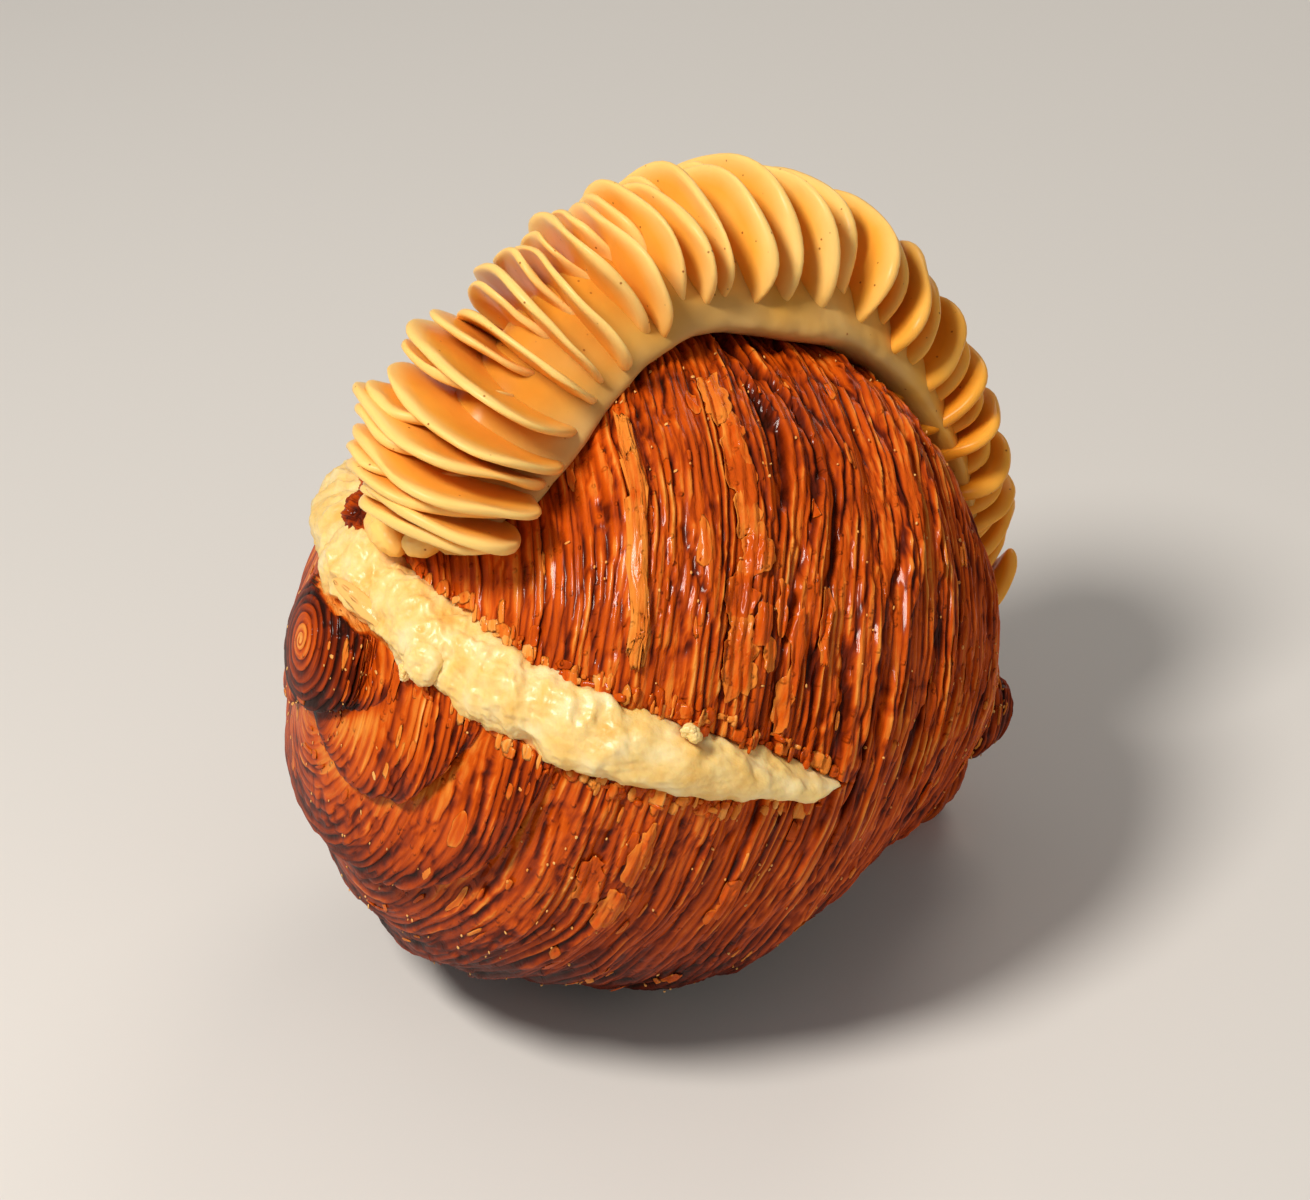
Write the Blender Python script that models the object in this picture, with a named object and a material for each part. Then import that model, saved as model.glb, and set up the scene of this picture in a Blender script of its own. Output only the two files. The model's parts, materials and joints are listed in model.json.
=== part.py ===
"""A filled almond croissant: split along one side, spread with almond cream and piped with a ruffle of cream.

Everything is worked out in the croissant's own directions and then set down on the table (z = 0):
  along   from the belly's middle towards the open horn (negative towards the shut horn)
  front   towards the split side
  up      from the bottom crust towards the top crust
A place on the crust is (along, around), where around is the angle about the long axis:
0 at the front, a quarter turn at the top and minus a quarter turn underneath.
"""

import math

import bmesh
import bpy
import numpy as np
from mathutils import Euler, Vector

MM = 0.001

# How the croissant lies: turned a little to its left, the open horn raised, leaning back.
YAW = math.radians(21.7)
TILT = math.radians(21.7)
LEAN = math.radians(4.0)
BELLY_PLACE = Vector((4.5 * MM, 3.7 * MM, 44.5 * MM))  # middle of the long axis

# The rolled dough. Each wrap reaches further out to the open horn than the one that lies over it.
OPEN_WRAPS = (  # girth (radius), reach along the horn, bluntness of its end
    (49.0 * MM, 52.8 * MM, 5.0),
    (42.0 * MM, 56.8 * MM, 6.0),
    (31.0 * MM, 58.5 * MM, 10.0),
)
OPEN_TIP = (14.5 * MM, 61.6 * MM, 12.0)
GIRTH = OPEN_WRAPS[0][0]
OPEN_REACH = OPEN_TIP[1]
LID_SHORT = 0.055  # the wraps end this much sooner on top
TOP_GROWTH = 1.04  # the lid stands a little higher than the base is deep
SHUT_LOW = (57.0 * MM, 1.35, 1.1)  # reach, bluntness and fullness of the shut side underneath
SHUT_TOP = (57.0 * MM, 2.1, 1.0)  # and on top
SHUT_TIP = (12.0 * MM, 61.0 * MM, 5.0)  # girth, reach and bluntness of the shut horn's own tip
SHUT_REACH = SHUT_TIP[1]
WAIST = (2.5 * MM, -22.0 * MM, 13.0 * MM)  # depth, place and length of a slimmer stretch underneath
HORN_DROP_OPEN = 5.0 * MM
HORN_DROP_SHUT = 4.0 * MM
HORN_SWEEP_SHUT = 5.0 * MM  # towards the back

# Relief of the crust.
SEAMS = (  # place of a wrap's seam at the front, and how far it leans out underneath
    (39.8 * MM, 6.5 * MM),
    (47.0 * MM, 4.5 * MM),
    (54.0 * MM, 1.5 * MM),
    (-24.0 * MM, 1.5 * MM),
    (-38.0 * MM, 1.0 * MM),
    (-49.0 * MM, 0.0 * MM),
)
SEAM_DEPTH = 1.3 * MM
SEAM_WIDTH = 1.5 * MM
SEAM_FADE = 12.0 * MM  # seams get shallower where the dough is thinner than this
FOLD_PITCH = 8.2 * MM
FOLD_DEPTH = 0.45 * MM
FOLD_WANDER = 0.8
FOLD_FADE = 30.0 * MM
FOOT_PLACE = (-52.5 * MM, -12.5 * MM, -17.5 * MM)  # along, front, up of the lobe the dough ends in
FOOT_SIZE = (8.5 * MM, 11.0 * MM, 10.0 * MM)

# The split, from the open horn to its hinge line across the belly.
HINGE_FRONT = (0.0, 48.0 * MM)  # along, front
HINGE_BACK = (28.0 * MM, -45.0 * MM)
HINGE_START = 1.0 * MM  # the split starts this far out from the hinge line
GAPE = 10.8 * MM
GAPE_RUN = 17.0 * MM
SPLIT_HEIGHT = 6.2 * MM
SPLIT_LIFT = 0.5 * MM
SPLIT_TIP = 0.5 * MM  # thickness of the split at its hinge
SPLIT_WAVE = (0.5 * MM, 4.1 * MM, 6.3 * MM)  # height and lengths of the torn faces' waves
SPLIT_HALF_WIDTH = 62.0 * MM
SPLIT_END = 80.0 * MM
FILLING_END = 58.0 * MM
BULGE = 1.6 * MM  # how far the filling stands proud of the crust
BULGE_END = (1.5 * MM, 36.0 * MM, 14.0 * MM)  # how much more towards the open horn, from where, over what run

# The ruffle of cream: petals on a strip along the back of the lid.
RUFFLE_PATH = (  # along, around (degrees) of the ruffle's middle line
    (50.0 * MM, 52.0),
    (47.5 * MM, 71.0),
    (37.0 * MM, 86.0),
    (23.5 * MM, 96.5),
    (8.5 * MM, 104.0),
    (-7.0 * MM, 107.0),
    (-21.0 * MM, 106.5),
    (-34.0 * MM, 107.0),
    (-44.0 * MM, 110.0),
)
RUFFLE_SIZES = (0.72, 1.04, 0.90, 0.92, 1.10, 1.06, 0.84, 0.68, 0.50)  # of the petals at the same places
PETALS = 36
PETAL_REACH = 15.0 * MM  # half of the ruffle's width
PETAL_RISE = 11.5 * MM
PETAL_HALF_THICKNESS = 1.5 * MM
PETAL_RIM = 0.6  # under 1 rounds the petal's rim off more bluntly
PETAL_CENTRE = 9.5 * MM  # above the crust
PETAL_YAW = math.radians(8.0)
PETAL_YAW_PLAY = math.radians(3.0)
PETAL_LEAN_PLAY = math.radians(6.0)
PETAL_SHIFT = 1.2 * MM  # petals stand to the left and the right of the line by turns
PETAL_CURL = 2.2 * MM
STRIP_HALF_WIDTH, STRIP_HALF_HEIGHT = 11.5 * MM, 5.5 * MM
STRIP_CENTRE = 3.0 * MM
STRIP_BLUNTNESS = 0.35
OUT_LEAN = (0.8, 0.4, 40.0 * MM)  # how far petals fan out with the horn's slope, and more at the open horn

GAP = 0.3 * MM  # between touching pieces
CREAM_GAP = 0.5 * MM  # between the ruffle and the crust
BELOW = -1.0  # a floor far below everything

# Rings along and sides around each turned form.
CRUST_RINGS, CRUST_SIDES = 40, 48
LIMIT_RINGS, LIMIT_SIDES = 26, 36
STRIP_RINGS, STRIP_SIDES = 26, 8
PETAL_RINGS, PETAL_SIDES = 4, 10
FOOT_RINGS, FOOT_SIDES = 10, 16
SPLIT_CELLS, FILLING_CELLS = 16, 14


def own_directions():
    """The world vectors that along, front and up stand for."""
    turn = Euler((LEAN, -TILT, math.pi + YAW), "XYZ").to_matrix()
    return [np.array(turn @ Vector(v)) for v in ((1, 0, 0), (0, 1, 0), (0, 0, 1))]


ALONG, FRONT, UP = own_directions()


def to_world(along, front, up):
    return np.array(BELLY_PLACE) + along * ALONG + front * FRONT + up * UP


def ease(t):
    """A smooth step from 0 to 1."""
    t = min(max(t, 0.0), 1.0)
    return t * t * (3.0 - 2.0 * t)


def bell(x, middle, width):
    return math.exp(-(((x - middle) / width) ** 2))


def through(values, share):
    """A smooth line through evenly spaced values (Catmull-Rom), for share from 0 to 1."""
    last = len(values) - 1
    i = min(int(share * last), last - 1)
    t = share * last - i
    a, b = values[i], values[i + 1]
    before = values[i - 1] if i > 0 else 2 * a - b
    after = values[i + 2] if i + 2 <= last else 2 * b - a
    bend = (2 * before - 5 * a + 4 * b - after) * t + (3 * a - before - 3 * b + after) * t * t
    return a + 0.5 * t * (b - before + bend)


def dome(along, girth, reach, bluntness, fullness=0.5):
    """Radius of a form that closes at reach: a high bluntness keeps its girth for longer."""
    share = min(abs(along) / reach, 1.0)
    return girth * (1.0 - share**bluntness) ** fullness


def crust_radius(along, around):
    """Distance from the long axis to the crust."""
    top = ease(0.5 + 0.5 * math.sin(around))
    if along >= 0.0:
        short = along * (1.0 + LID_SHORT * top)
        wraps = [dome(short, *wrap) for wrap in OPEN_WRAPS] + [dome(along, *OPEN_TIP)]
        radius = max(wraps) * (1.0 + (TOP_GROWTH - 1.0) * top)
    else:
        depth, place, length = WAIST
        low = dome(along, GIRTH, *SHUT_LOW) - depth * bell(along, place, length)
        high = dome(along, GIRTH * TOP_GROWTH, *SHUT_TOP)
        radius = max(low + (high - low) * top, dome(along, *SHUT_TIP))
    body = ease(radius / SEAM_FADE)
    for seam, lean in SEAMS:
        radius -= SEAM_DEPTH * bell(along, seam - lean * math.sin(around), SEAM_WIDTH) * body
    folds = math.sin(2 * math.pi * along / FOLD_PITCH + FOLD_WANDER * math.sin(2 * around))
    radius += FOLD_DEPTH * folds * ease(radius / FOLD_FADE)
    return max(radius, 0.0)


def axis_offset(along):
    """How far the long axis sweeps back and drops towards a horn: (front, up)."""
    share = (along / OPEN_REACH) ** 2
    if along > 0:
        return 0.0, -HORN_DROP_OPEN * share
    return -HORN_SWEEP_SHUT * share, -HORN_DROP_SHUT * share


def crust_point(along, around, proud=0.0):
    radius = crust_radius(along, around) + proud
    front, up = axis_offset(along)
    return to_world(along, front + radius * math.cos(around), up + radius * math.sin(around))


def station(share):
    """Where a ring lies along the croissant, for share from -1 (shut horn) to 1 (open horn)."""
    spaced = 0.3 * share + 0.7 * math.sin(share * math.pi / 2)
    return (OPEN_REACH if share > 0 else SHUT_REACH) * spaced


def add_object(name, bm, material=None):
    bmesh.ops.recalc_face_normals(bm, faces=bm.faces)
    mesh = bpy.data.meshes.new(name)
    bm.to_mesh(mesh)
    bm.free()
    obj = bpy.data.objects.new(name, mesh)
    bpy.context.scene.collection.objects.link(obj)
    if material:
        mesh.materials.append(material)
    return obj


def turned(rings, sides):
    """A globe, and for each of its points the angle from its first pole and the angle about it."""
    bm = bmesh.new()
    bmesh.ops.create_uvsphere(bm, u_segments=sides, v_segments=rings, radius=1.0)
    angles = [(math.acos(max(-1.0, min(1.0, v.co.z))), math.atan2(v.co.y, v.co.x)) for v in bm.verts]
    return bm, angles


def crust_body(name, rings, sides, proud=0.0, end=0.0, material=None, floor=0.0):
    """The whole croissant's outer form: a globe whose poles become the horns' tips.

    It is grown by proud, and by end more towards the open horn, and flattened where it meets the floor.
    """
    bm, angles = turned(rings, sides)
    for v, (polar, around) in zip(bm.verts, angles):
        along = station(1.0 - 2.0 * polar / math.pi)
        more = proud + end * ease((along - BULGE_END[1]) / BULGE_END[2])
        v.co = Vector(crust_point(along, around, more) + ALONG * (more * along / OPEN_REACH))
        v.co.z = max(v.co.z, floor)
    return add_object(name, bm, material)


def foot():
    """The lobe behind the belly that the rolled dough ends in."""
    bm, _ = turned(FOOT_RINGS, FOOT_SIDES)
    for v in bm.verts:
        v.co = Vector(to_world(*(place + size * x for place, size, x in zip(FOOT_PLACE, FOOT_SIZE, v.co))))
        v.co.z = max(v.co.z, 0.0)
    return add_object("foot", bm)


def split_reach(along, front):
    """Distance from the hinge line, positive on the open side."""
    run = (HINGE_BACK[0] - HINGE_FRONT[0], HINGE_BACK[1] - HINGE_FRONT[1])
    offset = (along - HINGE_FRONT[0]) * -run[1] + (front - HINGE_FRONT[1]) * run[0]
    return offset / math.hypot(*run)


def split_faces(along, front, inset=0.0):
    """Heights of the base's cut face and the lid's cut face, each drawn in by inset."""
    reach = max(split_reach(along, front) - 3.0 * inset, 0.0)
    gape = GAPE * (1.0 - math.exp(-((reach / GAPE_RUN) ** 1.3))) + SPLIT_TIP
    height, wave_along, wave_front = SPLIT_WAVE
    wave = height * math.sin(along / wave_along) * math.cos(front / wave_front)
    middle = SPLIT_HEIGHT + SPLIT_LIFT * (max(along, 0.0) / OPEN_REACH) ** 3 + wave
    half = max(gape / 2.0 - inset, GAP / 3.0)
    return middle - half, middle + half


def split_slab(name, inset, end, cells, material=None):
    """The space between base and lid, as a slab that is thin along the hinge and stops at end."""
    bm = bmesh.new()
    bmesh.ops.create_grid(bm, x_segments=cells, y_segments=cells, size=1.0)
    sheet = bmesh.ops.extrude_face_region(bm, geom=bm.faces[:])
    upper = {v for v in sheet["geom"] if isinstance(v, bmesh.types.BMVert)}
    slope = (HINGE_BACK[0] - HINGE_FRONT[0]) / (HINGE_BACK[1] - HINGE_FRONT[1])
    for v in bm.verts:
        front = v.co.y * SPLIT_HALF_WIDTH
        start = HINGE_FRONT[0] + (front - HINGE_FRONT[1]) * slope + HINGE_START + 3.0 * inset
        along = start + (end - start) * (v.co.x + 1.0) / 2.0
        low, high = split_faces(along, front, inset)
        v.co = Vector(to_world(along, front, high if v in upper else low))
    return add_object(name, bm, material)


def combine(target, others, operation):
    """Applies one Boolean with an object or a collection to target, and removes what it used."""
    modifier = target.modifiers.new(operation.title(), "BOOLEAN")
    modifier.operation = operation
    modifier.solver = "EXACT"
    if isinstance(others, bpy.types.Collection):
        modifier.operand_type = "COLLECTION"
        modifier.collection = others
        used = list(others.objects)
    else:
        modifier.object = others
        used = [others]
    graph = bpy.context.evaluated_depsgraph_get()
    made = bpy.data.meshes.new_from_object(target.evaluated_get(graph))
    target.modifiers.clear()
    old, made.name = target.data, target.name
    target.data = made
    bpy.data.meshes.remove(old)
    for obj in used:
        bpy.data.objects.remove(obj)
    if isinstance(others, bpy.types.Collection):
        bpy.data.collections.remove(others)


def finish_material(name, colour, roughness):
    made = bpy.data.materials.new(name)
    made.use_nodes = True
    shader = made.node_tree.nodes["Principled BSDF"]
    shader.inputs["Base Color"].default_value = (*colour, 1.0)
    shader.inputs["Roughness"].default_value = roughness
    return made


def ruffle_place(share):
    """(along, around) of the ruffle's middle line, for share from 0 (open horn) to 1."""
    along = through([place[0] for place in RUFFLE_PATH], share)
    around = through([place[1] for place in RUFFLE_PATH], share)
    return along, math.radians(around)


def smooth_crust_point(along, around):
    """The crust without its seams and folds, averaged over a few millimetres."""
    steps = (-4.0 * MM, 0.0, 4.0 * MM)
    return sum(crust_point(along + step, around) for step in steps) / len(steps)


def ruffle_frame(share):
    """Place on the crust and the directions along the ruffle, across it (towards the front) and out of it."""
    step = 0.01
    here = smooth_crust_point(*ruffle_place(share))
    ahead = smooth_crust_point(*ruffle_place(min(share + step, 1.0)))
    behind = smooth_crust_point(*ruffle_place(max(share - step, 0.0)))
    forward = (ahead - behind) / np.linalg.norm(ahead - behind)
    along, _ = ruffle_place(share)
    lean, more, run = OUT_LEAN
    out = here - to_world(along * (lean - more * ease(along / run)), *axis_offset(along))
    out -= forward * (out @ forward)
    out /= np.linalg.norm(out)
    across = np.cross(forward, out)
    return here, forward, across if across @ FRONT > 0 else -across, out


def strip():
    """The smooth run of cream that the petals stand on."""
    bm, angles = turned(STRIP_RINGS, STRIP_SIDES)
    for v, (polar, angle) in zip(bm.verts, angles):
        share = polar / math.pi
        here, _, across, out = ruffle_frame(share)
        size = through(RUFFLE_SIZES, share) * max(math.sin(polar), 0.0) ** STRIP_BLUNTNESS
        width = STRIP_HALF_WIDTH * size * math.cos(angle)
        height = STRIP_CENTRE + STRIP_HALF_HEIGHT * size * math.sin(angle)
        v.co = Vector(here + across * width + out * height)
    return add_object("ruffle", bm)


def petal(index):
    """One petal: a thin rounded leaf that stands across the ruffle."""
    share = (index + 0.5) / PETALS
    here, forward, across, out = ruffle_frame(share)
    play = math.sin(2.4 * index) + 0.6 * math.sin(5.1 * index + 1.0)
    yaw = PETAL_YAW + PETAL_YAW_PLAY * play
    lean = PETAL_LEAN_PLAY * math.sin(1.7 * index + 0.5)
    face = forward * math.cos(yaw) + across * math.sin(yaw)
    side = across * math.cos(yaw) - forward * math.sin(yaw)
    rise = out * math.cos(lean) + face * math.sin(lean)
    face = face * math.cos(lean) - out * math.sin(lean)
    size = through(RUFFLE_SIZES, share)
    reach = PETAL_REACH * (0.98 + 0.06 * play) * size
    height = PETAL_RISE * (1.0 + 0.06 * math.sin(3.3 * index)) * size
    middle = here + out * (PETAL_CENTRE * size) + side * (PETAL_SHIFT if index % 2 else -PETAL_SHIFT)
    bm, angles = turned(PETAL_RINGS, PETAL_SIDES)
    for v, (polar, angle) in zip(bm.verts, angles):
        angle += math.pi / PETAL_SIDES
        x, y = math.sin(polar) * math.cos(angle), math.sin(polar) * math.sin(angle)
        thick = PETAL_HALF_THICKNESS * math.copysign(abs(v.co.z) ** PETAL_RIM, v.co.z)
        curl = PETAL_CURL * x * abs(x)
        v.co = Vector(middle + side * (reach * x) + rise * (height * y) + face * (thick + curl))
    return add_object(f"petal_{index:02d}", bm)


def ruffle(material):
    """Strip and petals fused into one solid."""
    body = strip()
    petals = bpy.data.collections.new("petals")
    bpy.context.scene.collection.children.link(petals)
    for index in range(PETALS):
        leaf = petal(index)
        bpy.context.scene.collection.objects.unlink(leaf)
        petals.objects.link(leaf)
    combine(body, petals, "UNION")
    body.data.materials.clear()
    body.data.materials.append(material)
    return body


def main():
    for old in list(bpy.data.objects):
        bpy.data.objects.remove(old)
    crust = finish_material("baked crust", (0.55, 0.17, 0.035), 0.35)
    cream = finish_material("piped cream", (0.80, 0.50, 0.17), 0.3)
    almond_cream = finish_material("almond cream", (0.86, 0.68, 0.32), 0.45)

    croissant = crust_body("croissant", CRUST_RINGS, CRUST_SIDES, material=crust)
    combine(croissant, foot(), "UNION")
    combine(croissant, split_slab("split", 0.0, SPLIT_END, SPLIT_CELLS), "DIFFERENCE")

    filling = split_slab("filling", GAP, FILLING_END, FILLING_CELLS, almond_cream)
    limit = crust_body("limit", LIMIT_RINGS, LIMIT_SIDES, proud=BULGE, end=BULGE_END[0], floor=BELOW)
    combine(filling, limit, "INTERSECT")

    topping = ruffle(cream)
    clearance = crust_body("clearance", CRUST_RINGS, CRUST_SIDES, proud=CREAM_GAP, floor=BELOW)
    combine(topping, clearance, "DIFFERENCE")


main()
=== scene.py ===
# %% [markdown]
# # A filled almond croissant, built cell by cell
# The croissant is a roll of laminated dough that has been baked dark, split along one side, spread with
# almond cream and crowned with a ruffle of piped caramel cream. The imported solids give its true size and
# place. These cells give it its looks: the crust with the edges of the dough's layers, the lumpy filling,
# and the thin petals of the ruffle.

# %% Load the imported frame
import itertools
import json
import math

import bmesh
import bpy
import numpy as np
from mathutils import Euler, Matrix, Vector

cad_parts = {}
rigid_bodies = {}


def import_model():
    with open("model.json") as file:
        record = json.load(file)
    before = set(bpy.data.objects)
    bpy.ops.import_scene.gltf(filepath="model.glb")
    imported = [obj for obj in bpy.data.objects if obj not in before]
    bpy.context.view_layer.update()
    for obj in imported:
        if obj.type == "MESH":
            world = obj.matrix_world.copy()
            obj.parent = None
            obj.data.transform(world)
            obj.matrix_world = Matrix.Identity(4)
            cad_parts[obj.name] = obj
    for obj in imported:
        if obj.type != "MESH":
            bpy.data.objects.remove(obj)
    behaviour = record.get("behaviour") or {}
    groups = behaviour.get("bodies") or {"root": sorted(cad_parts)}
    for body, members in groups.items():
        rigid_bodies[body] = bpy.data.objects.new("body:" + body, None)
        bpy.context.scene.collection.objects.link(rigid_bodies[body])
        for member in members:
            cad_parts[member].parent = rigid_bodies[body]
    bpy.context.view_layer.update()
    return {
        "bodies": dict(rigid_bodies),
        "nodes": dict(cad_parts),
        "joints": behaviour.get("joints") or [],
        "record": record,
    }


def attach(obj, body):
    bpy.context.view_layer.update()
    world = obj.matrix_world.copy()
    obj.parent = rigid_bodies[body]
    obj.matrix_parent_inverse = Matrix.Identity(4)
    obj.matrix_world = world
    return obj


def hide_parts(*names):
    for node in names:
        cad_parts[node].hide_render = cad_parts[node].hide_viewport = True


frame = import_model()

# %% [markdown]
# ## The croissant's own directions
# A croissant lies askew, so its length, its front and its top don't match the table's X, Y and Z. It is
# easier to say where things are in the croissant's own directions: `along` runs from the belly to the open
# horn, `front` towards the split side and `up` towards the top crust. A place on the crust is then
# (along, around), like a place on a globe whose poles are the two horns. All lengths are in millimetres
# until a mesh is filled in. The numbers are the driving sizes of the solids, so both models agree.

# %% Directions, and the way to and from the table
MM = 0.001
YAW = math.radians(21.7)
TILT = math.radians(21.7)
LEAN = math.radians(4.0)
BELLY = np.array((4.5, 3.7, 44.5))

turn = Euler((LEAN, -TILT, math.pi + YAW), "XYZ").to_matrix()
ALONG, FRONT, UP = (np.array(turn @ Vector(v)) for v in ((1, 0, 0), (0, 1, 0), (0, 0, 1)))


def to_world(along, front, up):
    """The croissant's own measures as points on the table, all in millimetres."""
    along, front, up = np.broadcast_arrays(along, front, up)
    return BELLY + along[..., None] * ALONG + front[..., None] * FRONT + up[..., None] * UP


def on_table(points):
    """The same points, none of them lower than the table."""
    points[:, 2] = np.maximum(points[:, 2], 0.0)
    return points


def unit(vector):
    return vector / np.linalg.norm(vector)


def axis_offset(along):
    """How far the roll's long axis sweeps back and drops towards a horn: (front, up)."""
    share = (along / OPEN_TIP[1]) ** 2
    opened = along > 0
    return np.where(opened, 0.0, -5.0 * share), np.where(opened, -5.0, -4.0) * share


def from_world(points):
    """(along, around, radius) of points, the opposite of crust_point."""
    own = points - BELLY
    along = own @ ALONG
    front, up = axis_offset(along)
    front, up = own @ FRONT - front, own @ UP - up
    return along, np.arctan2(up, front), np.hypot(front, up)


print("the open horn points to", ALONG.round(2), "and the split faces", FRONT.round(2))

# %% [markdown]
# ## The baked form without its layers
# The roll is a set of wraps. Each is a dome that keeps its girth and then closes, and each inner wrap
# reaches further out than the one over it, which gives the open horn its steps. One could model this by
# hand with sculpting. A few domes with named sizes do it with no guesswork, and every later piece, such as
# the filling or the cream, can ask the same function where the crust is.

# %% Domes, wraps and the smooth radius
OPEN_WRAPS = ((49.0, 52.8, 5.0), (42.0, 56.8, 6.0), (31.0, 58.5, 10.0))  # girth, reach, bluntness
OPEN_TIP = (14.5, 61.6, 12.0)
SHUT_LOW = (57.0, 1.35, 1.1)  # reach, bluntness, fullness
SHUT_TOP = (57.0, 2.1, 1.0)
SHUT_TIP = (12.0, 61.0, 5.0)
GIRTH = OPEN_WRAPS[0][0]
LID_SHORT = 0.055  # the wraps end sooner on top
TOP_GROWTH = 1.04
WAIST = (2.5, -22.0, 13.0)  # depth, place, length


def ease(t):
    """A smooth step from 0 to 1."""
    t = np.clip(t, 0.0, 1.0)
    return t * t * (3.0 - 2.0 * t)


def bell(x, middle, width):
    return np.exp(-(((x - middle) / width) ** 2))


def dome(along, girth, reach, bluntness, fullness=0.5):
    share = np.minimum(np.abs(along) / reach, 1.0)
    return girth * (1.0 - share**bluntness) ** fullness


def form_radius(along, around):
    """Distance from the long axis to the crust, before any relief."""
    top = ease(0.5 + 0.5 * np.sin(around))
    short = along * (1.0 + LID_SHORT * top)
    wraps = [dome(short, *wrap) for wrap in OPEN_WRAPS] + [dome(along, *OPEN_TIP)]
    opened = np.maximum.reduce(wraps) * (1.0 + (TOP_GROWTH - 1.0) * top)
    depth, place, length = WAIST
    low = dome(along, GIRTH, *SHUT_LOW) - depth * bell(along, place, length)
    high = dome(along, GIRTH * TOP_GROWTH, *SHUT_TOP)
    shut = np.maximum(low + (high - low) * top, dome(along, *SHUT_TIP))
    return np.where(along >= 0.0, opened, shut)


def crust_point(along, around, radius):
    front, up = axis_offset(along)
    return to_world(along, front + radius * np.cos(around), up + radius * np.sin(around))


print("girth at the belly", round(float(2 * form_radius(np.array(0.0), np.array(0.0))), 1), "mm")

# %% [markdown]
# ## Distance over the crust
# The edges of the layers lie a millimetre or so apart over the crust itself, also where it closes in at
# the horn. So they are counted by the distance walked over the crust from the belly, its `run`, and not
# by the distance along the axis.

# %% A table from along to run
RUN_SIDE = math.radians(-35.0)  # the walk is measured on the lower front
stations = np.linspace(-SHUT_TIP[1], OPEN_TIP[1], 4001)
walk = form_radius(stations, np.full_like(stations, RUN_SIDE))
runs = np.concatenate(([0.0], np.cumsum(np.hypot(np.diff(stations), np.diff(walk)))))
runs -= np.interp(0.0, stations, runs)


def run_of(along):
    return np.interp(along, stations, runs)


def along_of(run):
    return np.interp(run, runs, stations)


print("the crust runs from", runs[0].round(1), "to", runs[-1].round(1), "mm")

# %% [markdown]
# ## Noise
# Baked dough is uneven at every scale. This is lattice noise: random values on a grid, blended smoothly
# between its corners. It works on whole arrays, so half a million points take a moment. The same
# seed gives the same dough each time.

# %% Lattice noise
PRIMES = (73856093, 19349663, 83492791)


def scramble(key):
    """Turns whole numbers into repeatable random ones from -1 to 1."""
    key = (key ^ (key >> 15)) * np.uint32(0x2C1B3C6D)
    key = (key ^ (key >> 12)) * np.uint32(0x297A2D39)
    return ((key >> 9) & 0xFFFF) / 32767.5 - 1.0


def grain(places, size, seed=0):
    """Smooth noise from -1 to 1 with lumps of this size; size is one number or one for each axis."""
    scaled = places / np.asarray(size, dtype=float)
    cell = np.floor(scaled)
    share = scaled - cell
    share = share * share * (3.0 - 2.0 * share)
    blend = (1.0 - share, share)
    cell = cell.astype(np.int64).astype(np.uint32)
    keys = [[(cell[:, i] + np.uint32(d)) * np.uint32(p) for d in (0, 1)] for i, p in enumerate(PRIMES)]
    total = np.zeros(len(places))
    for a, b, c in itertools.product((0, 1), repeat=3):
        weight = blend[a][:, 0] * blend[b][:, 1] * blend[c][:, 2]
        total += weight * scramble(keys[0][a] ^ keys[1][b] ^ keys[2][c] ^ np.uint32(seed * 977 + 13))
    return total


check = grain(np.random.default_rng(1).uniform(0, 50, (1000, 3)), 5.0)
print("noise runs from", check.min().round(2), "to", check.max().round(2))

# %% [markdown]
# ## The relief of the layers
# When a croissant is cut from laminated dough, its edge shows every layer, and baking lifts them into
# ridges with dark crevices between. Up close there are three sizes: hair-fine layer edges, strands of
# several layers that stand out together, and the seams where one wrap ends on the next. Each is a rounded
# ridge profile across the run, whose height changes along the ridge so that layers start and stop.

# %% Seams, strands and layer edges
SEAMS = (  # place of a wrap's seam at the front, its lean, how it curves away underneath, depth
    (39.8, 0.0, 10.0, 2.9),
    (47.3, 5.5, 4.5, 3.1),
    (54.4, 4.4, 0.0, 2.2),
)
SHUT_SEAMS = ((-24.0, 1.3), (-38.0, 1.5), (-49.0, 1.4))  # place and depth on the shut side
WALL, LEDGE, SHUT_SEAM = 1.0, 2.8, 1.7  # widths of a seam's steep side, its gentle side and a shut seam
SKIN = (0.6, 1.4)  # the smooth skin beside a seam: its full width, and the width over which it fades
CREASE = (0.25, 0.5)  # place and width of the painted shade line in a seam's bottom
CONE_RUN = float(run_of(56.8))  # the innermost wrap's own tip starts here


def upper(around):
    """1 on the top crust, 0 on the front, the back and underneath."""
    return ease(0.5 + 1.3 * np.sin(around))


def dough_place(along, around):
    """Each place on the crust as (run, across, up), for noise that follows the layers."""
    radius = form_radius(along, around)
    return np.stack([run_of(along), radius * np.cos(around), radius * np.sin(around)], axis=-1)


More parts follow.
